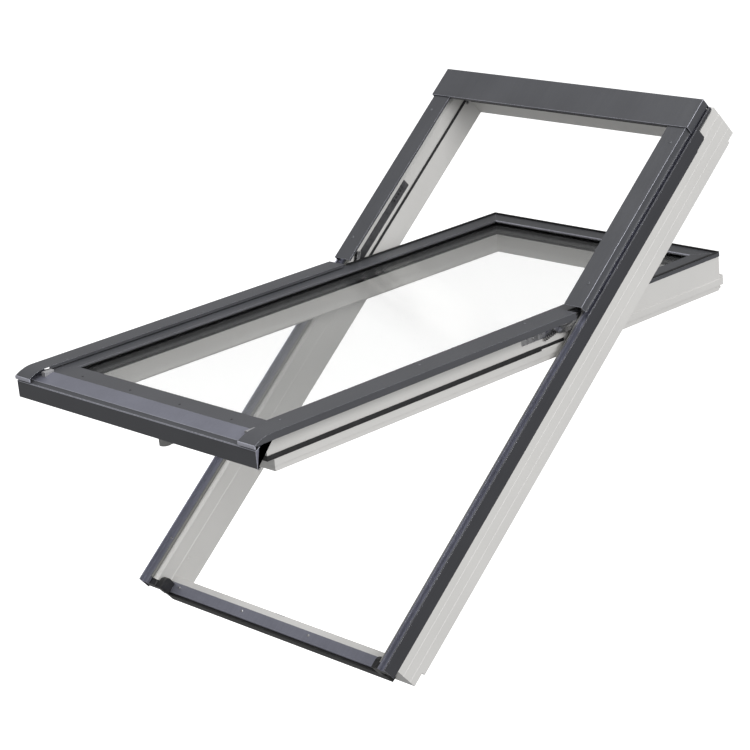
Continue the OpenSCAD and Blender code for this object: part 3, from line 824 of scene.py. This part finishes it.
def screw_head(centre: Points, up: Points, radius: float, height: float) -> tuple[Points, Points]:
    """A domed head with a six-lobed socket, as a grid of rings.

    The rings run up the dome, height * (1 - (r / radius)^2) ^ 0.5, and down
    into the socket, whose radius is base * (1 + 0.16 * cos(6 a)).

    Args:
        centre: Middle of the head's seat.
        up: Unit direction out of the surface.
        radius: The head's radius.
        height: The dome's height.

    Returns:
        Points and faces.
    """
    around = 48
    a = np.linspace(0, 2 * math.pi, around, endpoint=False)
    rim = 0.995
    share = np.array([1.0, 0.99, 0.93, 0.8, 0.62])
    rise = height * np.sqrt(1 - (share * rim) ** 2) / math.sqrt(1 - (share[-1] * rim) ** 2)
    lobes = 1 + 0.16 * np.cos(6 * a)
    mouth, floor, middle = (0.46, 0.98, lobes), (0.42, 0.35, lobes), (0.02, 0.30, 1)
    rings = [
        np.stack([s * radius * np.cos(a), s * radius * np.sin(a), 0 * a + h], 1)
        for s, h in zip(share, rise)
    ]
    for reach, level, outline in (mouth, floor, middle):
        r = reach * radius * outline
        rings.append(np.stack([r * np.cos(a), r * np.sin(a), 0 * a + height * level], 1))
    local = np.concatenate(rings)
    side = np.cross(up, [0.0, 0.3, 0.95] if abs(up[0]) > 0.5 else [1.0, 0.0, 0.0])
    side /= np.linalg.norm(side)
    third = np.cross(up, side)
    points = centre + local[:, :1] * side + local[:, 1:2] * third + local[:, 2:] * up
    return points, grid_faces(len(rings), around)


def socket_screws(node: str, finish: Any, lay: Lay, out: Triple) -> Piece:
    """Domed screws in the places of a CAD node's heads.

    Args:
        node: The CAD node that holds the screws.
        finish: Their finish.
        lay: The plane that they are set in.
        out: Outward direction in that plane; x is turned away from the middle.

    Returns:
        One piece with all the heads.
    """
    points, faces, used = [], [], 0
    for solid in islands(frame["nodes"][node].data):
        local = lay.to_plane(solid)
        low, high = local.min(axis=0), local.max(axis=0)
        middle = (low + high) / 2
        up = np.array(out, float)
        if up[0]:
            up[0] = math.copysign(1.0, middle[0]) * up[0]
        axis = int(np.argmax(np.abs(up)))
        tip = high[axis] if up[axis] > 0 else low[axis]
        across = [k for k in range(3) if k != axis]
        radius = (high[across] - low[across]).max() / 2
        shank = np.abs(local[:, across] - middle[across]).max(axis=1) < radius * SHANK_SHARE
        seat_side = local[~shank][:, axis]
        seat = seat_side.min() if up[axis] > 0 else seat_side.max()
        middle[axis] = seat
        turn = lay.matrix()
        height = max(abs(tip - seat), LOWEST_DOME * radius)
        p, f = screw_head(lay.to_row(middle[None])[0], turn @ up, radius, height)
        points.append(p)
        faces.append(f + used)
        used += len(p)
    piece = new_piece(f"{node}_finished", np.concatenate(points), np.concatenate(faces))
    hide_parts(node)
    bm = bmesh.new()
    bm.from_mesh(piece.data)
    bmesh.ops.holes_fill(bm, edges=[e for e in bm.edges if e.is_boundary], sides=64)
    bmesh.ops.recalc_face_normals(bm, faces=bm.faces)
    bm.to_mesh(piece.data)
    bm.free()
    smooth_by_angle(piece.data)
    return join_body(piece, node, [finish], lay)


# ---- Sub-assemblies ------------------------------------------------------


@dataclass(frozen=True)
class Dress:
    """What a sub-assembly does with one CAD node.

    Attributes:
        node: The CAD node's name.
        finish: Its finish.
        edge: How its edges are rounded.
        other: A second finish, for some of the faces.
        where: Tells from face centres in the piece's plane which faces get it.
        fold: The finish of the rounded folds, a lighter colour that paints a highlight on them.
    """

    node: str
    finish: Any
    edge: Edge
    other: Any = None
    where: Callable[[Points], np.ndarray] | None = None
    fold: Any = None

    def build(self, lay: Lay) -> Piece:
        """Rounds, dresses and seats the node.

        Args:
            lay: The plane of the node's body.

        Returns:
            The finished piece.
        """
        piece = soften(self.node, self.edge)
        finishes = [self.finish] + [f for f in (self.other, self.fold) if f is not None]
        join_body(piece, self.node, finishes, lay)
        if self.where is not None:
            centres = np.empty(len(piece.data.polygons) * 3, np.float32)
            piece.data.polygons.foreach_get("center", centres)
            chosen = self.where(lay.to_plane(centres.reshape(-1, 3).astype(float)))
            piece.data.polygons.foreach_set("material_index", chosen.astype(np.int32))
        # The rounding's faces take the fold finish, a painted highlight.
        if self.fold is not None:
            piece.modifiers["rounding"].material = len(finishes) - 1
        return piece


def both(name: str, finish: Any, edge: Edge, **more: Any) -> list[Dress]:
    """The same treatment for a left and a right node."""
    return [Dress(f"{name}_{side}", finish, edge, **more) for side in ("left", "right")]


def painted(node: str) -> Dress:
    """A folded sheet whose rounded folds get a painted highlight."""
    return Dress(node, PAINT, Edge.FOLDED, fold=FOLD_HIGHLIGHT)


FLANGE_SHEET = 1.5 * MM
DRIP_START = -705.5 * MM


def on_flange(centres: Points) -> np.ndarray:
    """Faces of the gutter's outer flange, which lies against the window's side."""
    return np.abs(centres[:, 0]) > CAD_BOX[1].x - FLANGE_SHEET


def painted_reflection_on_drip(centres: Points) -> np.ndarray:
    """Faces of the skirt's slope, behind its two ridges, which take a lighter blue-grey colour as a
    painted sky reflection.
    """
    return centres[:, 1] > DRIP_START


def bar(
    name: str, node: str, finish: Any, lay: Lay, box: Box, radius: float = 1.5
) -> Piece:
    """A straight bar with rounded edges along x or y, for a detail on a CAD node.

    Args:
        name: The piece's name.
        node: The CAD node that it belongs to.
        finish: Its finish.
        lay: The plane that its sizes are given in.
        box: Lowest x, y, z and highest x, y, z, in millimetres.
        radius: Rounding of its section, in millimetres.

    Returns:
        The bar.
    """
    low, high = np.array(box[:3]) * MM, np.array(box[3:]) * MM
    span = high - low
    along_x = span[0] >= span[1]
    width = span[1] if along_x else span[0]
    start = low[:2] if along_x else np.array([high[0], low[1]])
    end = np.array([high[0], low[1]]) if along_x else high[:2]
    section = [(0, low[2]), (width, low[2]), (width, high[2]), (0, high[2])]
    piece = sweep_profile(name, lay, start, end, rounded(section, radius * MM))
    return join_body(piece, node, [finish], lay)


def mirrored(box: Box) -> Box:
    """The same box on the window's left side."""
    return (-box[3], box[1], box[2], -box[0], box[4], box[5])


def unchanged(box: Box) -> Box:
    """The box as it is, on the window's right side."""
    return box


SIDES: dict[str, Callable[[Box], Box]] = {"right": unchanged, "left": mirrored}


@dataclass
class FixedFrame:
    """The frame in the roof: profiles, seals, claddings and caps.

    Attributes:
        lay: The frame's plane.
        upper_seal: Box of the right upper seal, in millimetres.
    """

    lay: Lay
    upper_seal: Box = (348.6, 168.0, 57.0, 352.2, 664.0, 63.0)

    def build(self) -> list[Piece]:
        """Builds all pieces of the frame.

        Returns:
            The pieces, in order.
        """
        plan = [
            *both("frame_jamb", FRAME_PVC, Edge.EXTRUDED),
            Dress("frame_head", FRAME_PVC_ACROSS, Edge.EXTRUDED),
            Dress("frame_sill", FRAME_PVC_ACROSS, Edge.EXTRUDED),
            *both("frame_seal", SIDE_RUBBER, Edge.MACHINED),
            Dress("frame_seal_head", RUBBER, Edge.MACHINED),
            Dress("sill_seal", RUBBER, Edge.MACHINED),
            painted("head_hood"),
            painted("upper_cover_left"),
            painted("upper_cover_right"),
            # The gutters' folds also get the painted fold highlight.
            *both("side_flashing", GUTTER_COAT_AND_PAINTED_REFLECTION, Edge.FOLDED, other=DARK_PAINT, where=on_flange, fold=FOLD_HIGHLIGHT),
            Dress("sill_cladding", GUTTER_COAT_AND_PAINTED_REFLECTION, Edge.FOLDED, fold=FOLD_HIGHLIGHT),
            *both("sill_cap", BLACK_PLASTIC, Edge.MOULDED),
            Dress("cover_clips", BLACK_PLASTIC, Edge.MACHINED),
            *both("hinge_guide", HINGE, Edge.MACHINED),
            Dress("strike_plate", ZINC, Edge.MACHINED),
            Dress("bolt_bush", ZINC, Edge.MACHINED),
            Dress("frame_plugs", FRAME_PVC, Edge.MACHINED),
        ]
        pieces = [step.build(self.lay) for step in plan]
        pieces.append(socket_screws("upper_cover_screws", COVER_SCREW, self.lay, (0, 0, 1)))
        pieces.append(socket_screws("flashing_screws", ZINC, self.lay, (0, 0, 1)))
        pieces.append(socket_screws("sill_rivets", ZINC, self.lay, (0, 0, 1)))
        pieces.append(socket_screws("hinge_guide_screws", DARK_SCREW, self.lay, (-1, 0, 0)))
        return pieces + self.upper_seals()

    def upper_seals(self) -> list[Piece]:
        """Black lips in the inner walls beside the upper half of the sash."""
        right, left = self.upper_seal, mirrored(self.upper_seal)
        return [
            bar("upper_seal_right", "frame_seal_right", RUBBER, self.lay, right),
            bar("upper_seal_left", "frame_seal_left", RUBBER, self.lay, left),
        ]


@dataclass
class OpenSash:
    """The turning sash: rails, glazing, trims, covers and seals.

    Attributes:
        lay: The sash's plane.
        cover_hem: Box of the right cover's rolled front edge, in millimetres.
        end_block: Box of the grey block beside the right cover's tip.
        seal_end: Box of the right end of the weather seal.
        latch: Box of the latch at the top right corner.
        spring_axis: Start and end of the right brake spring's axis.
        spring_radius: Its coils' radius.
        spring_turns: Its number of turns.
    """

    lay: Lay
    cover_hem: Box = (328.2, -720.8, 106.0, 376.8, -717.8, 113.6)
    end_block: Box = (314.0, -690.0, 109.0, 326.0, -667.0, 121.5)
    seal_end: Box = (338.0, 70.0, 60.0, 340.9, 150.0, 67.4)
    latch: Box = (330.0, 655.0, 47.0, 340.6, 665.0, 59.0)
    spring_axis: tuple[Triple, Triple] = ((344.6, 86.0, 80.0), (344.6, 138.0, 91.0))
    spring_radius: float = 4.2
    spring_turns: int = 9

    def build(self) -> list[Piece]:
        """Builds all pieces of the sash.

        Returns:
            The pieces, in order.
        """
        plan = [
            *both("sash_rail", FRAME_PVC, Edge.EXTRUDED),
            Dress("sash_rail_top", FRAME_PVC_ACROSS, Edge.EXTRUDED),
            Dress("sash_rail_bottom", FRAME_PVC_ACROSS, Edge.EXTRUDED),
            Dress("outer_pane", GLASS, Edge.MACHINED),
            Dress("inner_pane", GLASS, Edge.MACHINED),
            Dress("pane_spacer", BLACK_PLASTIC, Edge.MACHINED),
            Dress("outer_glazing_gasket", RUBBER, Edge.MACHINED),
            Dress("inner_glazing_gasket", RUBBER, Edge.MACHINED),
            Dress("sash_seal", RUBBER, Edge.MACHINED),
            Dress("sash_lip_seal", RUBBER, Edge.MACHINED),
            painted("sash_trim_left"),
            painted("sash_trim_right"),
            painted("sash_trim_top"),
            painted("sash_trim_bottom"),
            # The skirt's slope gets the blue-grey colour as a painted sky reflection; the front keeps
            # the dark paint.
            Dress("bottom_skirt", PAINT, Edge.FOLDED, GUTTER_COAT_AND_PAINTED_REFLECTION, painted_reflection_on_drip, FOLD_HIGHLIGHT),
            painted("sash_cover_left"),
            painted("sash_cover_right"),
            Dress("sash_cover_clips", BLACK_PLASTIC, Edge.MACHINED),
            *both("hinge_shoe", ZINC, Edge.MACHINED),
            Dress("lock_case", ZINC, Edge.MACHINED),
            Dress("handle_rose", SATIN, Edge.MOULDED),
            Dress("corner_plug", BLACK_PLASTIC, Edge.MACHINED),
        ]
        pieces = [step.build(self.lay) for step in plan]
        pieces.append(socket_screws("sash_cover_screws", COVER_SCREW, self.lay, (0, 0, 1)))
        pieces.append(socket_screws("trim_screws", DARK_SCREW, self.lay, (0, 0, 1)))
        pieces.append(socket_screws("hinge_shoe_screws", ZINC, self.lay, (1, 0, 0)))
        return pieces + self.cover_hems() + self.side_details()

    def cover_hems(self) -> list[Piece]:
        """Rolled front edges of the two side covers in the painted highlight colour, and the grey
        blocks beside them.
        """
        pieces = []
        for side, turn in SIDES.items():
            hem, block = turn(self.cover_hem), turn(self.end_block)
            # The hem's light colour is a painted highlight on the cover's front edge.
            pieces.append(bar(f"cover_hem_{side}", f"sash_cover_{side}", FOLD_HIGHLIGHT, self.lay, hem))
            pieces.append(bar(f"end_block_{side}", "sash_cover_clips", GREY_PLASTIC, self.lay, block))
        return pieces

    def side_details(self) -> list[Piece]:
        """Seal ends, brake springs and the right latch; on the left the cleaning bolt comes out."""
        pieces = []
        for side, turn in SIDES.items():
            pieces.append(bar(f"seal_end_{side}", "sash_seal", RUBBER, self.lay, turn(self.seal_end)))
            if side == "right":
                pieces.append(bar("latch_right", "corner_plug", BLACK_PLASTIC, self.lay, self.latch))
            pieces.append(self.spring(side))
        return pieces

    def spring(self, side: str) -> Piece:
        """A flattened coil spring of the hinge's brake.

        Its wire is axis point + 0.3 r cos(2 pi n t) * x + r sin(2 pi n t) * up, with
        n turns while t goes from 0 to 1 along the axis.

        Args:
            side: Name of the side.

        Returns:
            The spring.
        """
        t = np.linspace(0, 1, 220)[:, None]
        start, end = np.array(self.spring_axis[0]), np.array(self.spring_axis[1])
        a, r = 2 * math.pi * self.spring_turns * t, self.spring_radius
        across, up = np.array([0.3, 0, 0]), np.array([0, -0.207, 0.978])
        wire = start + (end - start) * t + r * np.cos(a) * across + r * np.sin(a) * up
        wire[:, 0] *= 1 if side == "right" else -1
        piece = sweep_curve(f"brake_spring_{side}", self.lay.to_row(wire * MM), 0.9 * MM, 8)
        return join_body(piece, f"hinge_shoe_{side}", [SPRING], self.lay)


@dataclass
class MovingParts:
    """The hinge sliders, the handle and the bolts."""

    lay: Lay

    def build(self) -> list[Piece]:
        """Builds the pieces that move by themselves."""
        plan = [
            *both("hinge_slider", ZINC, Edge.MACHINED),
            Dress("handle_lever", SATIN, Edge.MOULDED),
            Dress("lock_bolt", ZINC, Edge.MACHINED),
            Dress("cleaning_bolt", ZINC, Edge.MACHINED),
        ]
        return [step.build(self.lay) for step in plan]


# ---- Stage ---------------------------------------------------------------


@dataclass
class Studio:
    """Floor, light and camera.

    Attributes:
        eye: The camera's place.
        aim: The point that it looks at.
        roll: Its roll, in degrees.
        lens: Its focal length for a 36 mm sensor.
        floor_drop: How far the floor lies below the window.
        floor_half: Half of the floor's width.
        lamp_size: Width of a lamp.
        key: Place and power of the lamp in front.
        top: Place and power of the lamp overhead.
        surround: Strength of the light from all round.
    """

    eye: Triple = (3.7231, -3.6414, 1.4055)
    aim: Triple = (0.0020, -0.2141, 0.0379)
    roll: float = -1.706
    lens: float = 119.08
    floor_drop: float = 0.35
    floor_half: float = 60.0
    lamp_size: float = 4.0
    key: tuple[Triple, float] = ((6.0, -1.5, 3.0), 300.0)
    top: tuple[Triple, float] = ((0.0, -1.0, 5.0), 150.0)
    surround: float = 0.38

    def camera(self) -> None:
        """Puts the camera in place."""
        data = bpy.data.cameras.new("camera")
        data.lens = self.lens
        data.sensor_width = 36.0
        data.clip_end = 200.0
        eye = bpy.data.objects.new("camera", data)
        bpy.context.scene.collection.objects.link(eye)
        way = Vector(self.aim) - Vector(self.eye)
        level = way.to_track_quat("-Z", "Y").to_matrix()
        turn = Matrix.Rotation(math.radians(self.roll), 3, "Z")
        eye.matrix_world = Matrix.Translation(Vector(self.eye)) @ (level @ turn).to_4x4()
        bpy.context.scene.camera = eye

    def floor(self) -> None:
        """Lays a pale floor out to the horizon."""
        ends = np.array([(-1, -1), (1, -1), (1, 1), (-1, 1)]) * self.floor_half
        level = np.full((len(ends), 1), CAD_BOX[0].z - self.floor_drop)
        piece = new_piece("floor", np.hstack([ends, level]), [[0, 1, 2, 3]])
        g = Graph("pale_floor")
        where = g.plain_coordinates()
        tone = g.blend(g.noise(where, 3.0), opaque((0.60, 0.60, 0.60)), opaque((0.64, 0.64, 0.64)))
        shader = g.node(
            "ShaderNodeBsdfPrincipled",
            {},
            {
                "Base Color": tone,
                "Roughness": 0.9,
                "Emission Color": opaque((1.0, 1.0, 1.0)),
                "Emission Strength": 0.95,
            },
        )
        piece.data.materials.append(g.surface(shader))
        piece.visible_diffuse = False
        piece.visible_glossy = False

    def softbox(self, name: str, place: Triple, power: float) -> None:
        """A large square light that faces the origin.

        Args:
            name: The light's name.
            place: Where it hangs.
            power: Its power in watts.
        """
        data = bpy.data.lights.new(name, "AREA")
        data.shape = "RECTANGLE"
        data.size = data.size_y = self.lamp_size
        data.energy = power
        lamp = bpy.data.objects.new(name, data)
        bpy.context.scene.collection.objects.link(lamp)
        turn = (-Vector(place)).to_track_quat("-Z", "Y").to_matrix().to_4x4()
        lamp.matrix_world = Matrix.Translation(Vector(place)) @ turn

    def light(self) -> None:
        """Hangs the lights and sets a soft white surround."""
        world = bpy.data.worlds.new("surround")
        world.use_nodes = True
        back = world.node_tree.nodes["Background"]
        back.inputs["Color"].default_value = (1.0, 1.0, 1.0, 1.0)
        back.inputs["Strength"].default_value = self.surround
        bpy.context.scene.world = world
        self.softbox("key", *self.key)
        self.softbox("top", *self.top)

    def build(self) -> None:
        """Sets up the whole stage."""
        bpy.context.scene.view_settings.view_transform = "Standard"
        self.camera()
        self.floor()
        self.light()


def main() -> None:
    """Builds the sub-assemblies in order and reports each piece."""
    logging.basicConfig(level=logging.INFO, format="%(name)s: %(message)s")
    fixed = frame_lay()
    turned = sash_lay(fixed)
    Studio().build()
    for assembly in (FixedFrame(fixed), OpenSash(turned), MovingParts(turned)):
        for piece in assembly.build():
            LOG.info("%s: %s", type(assembly).__name__, piece.name)


if __name__ == "__main__":
    main()
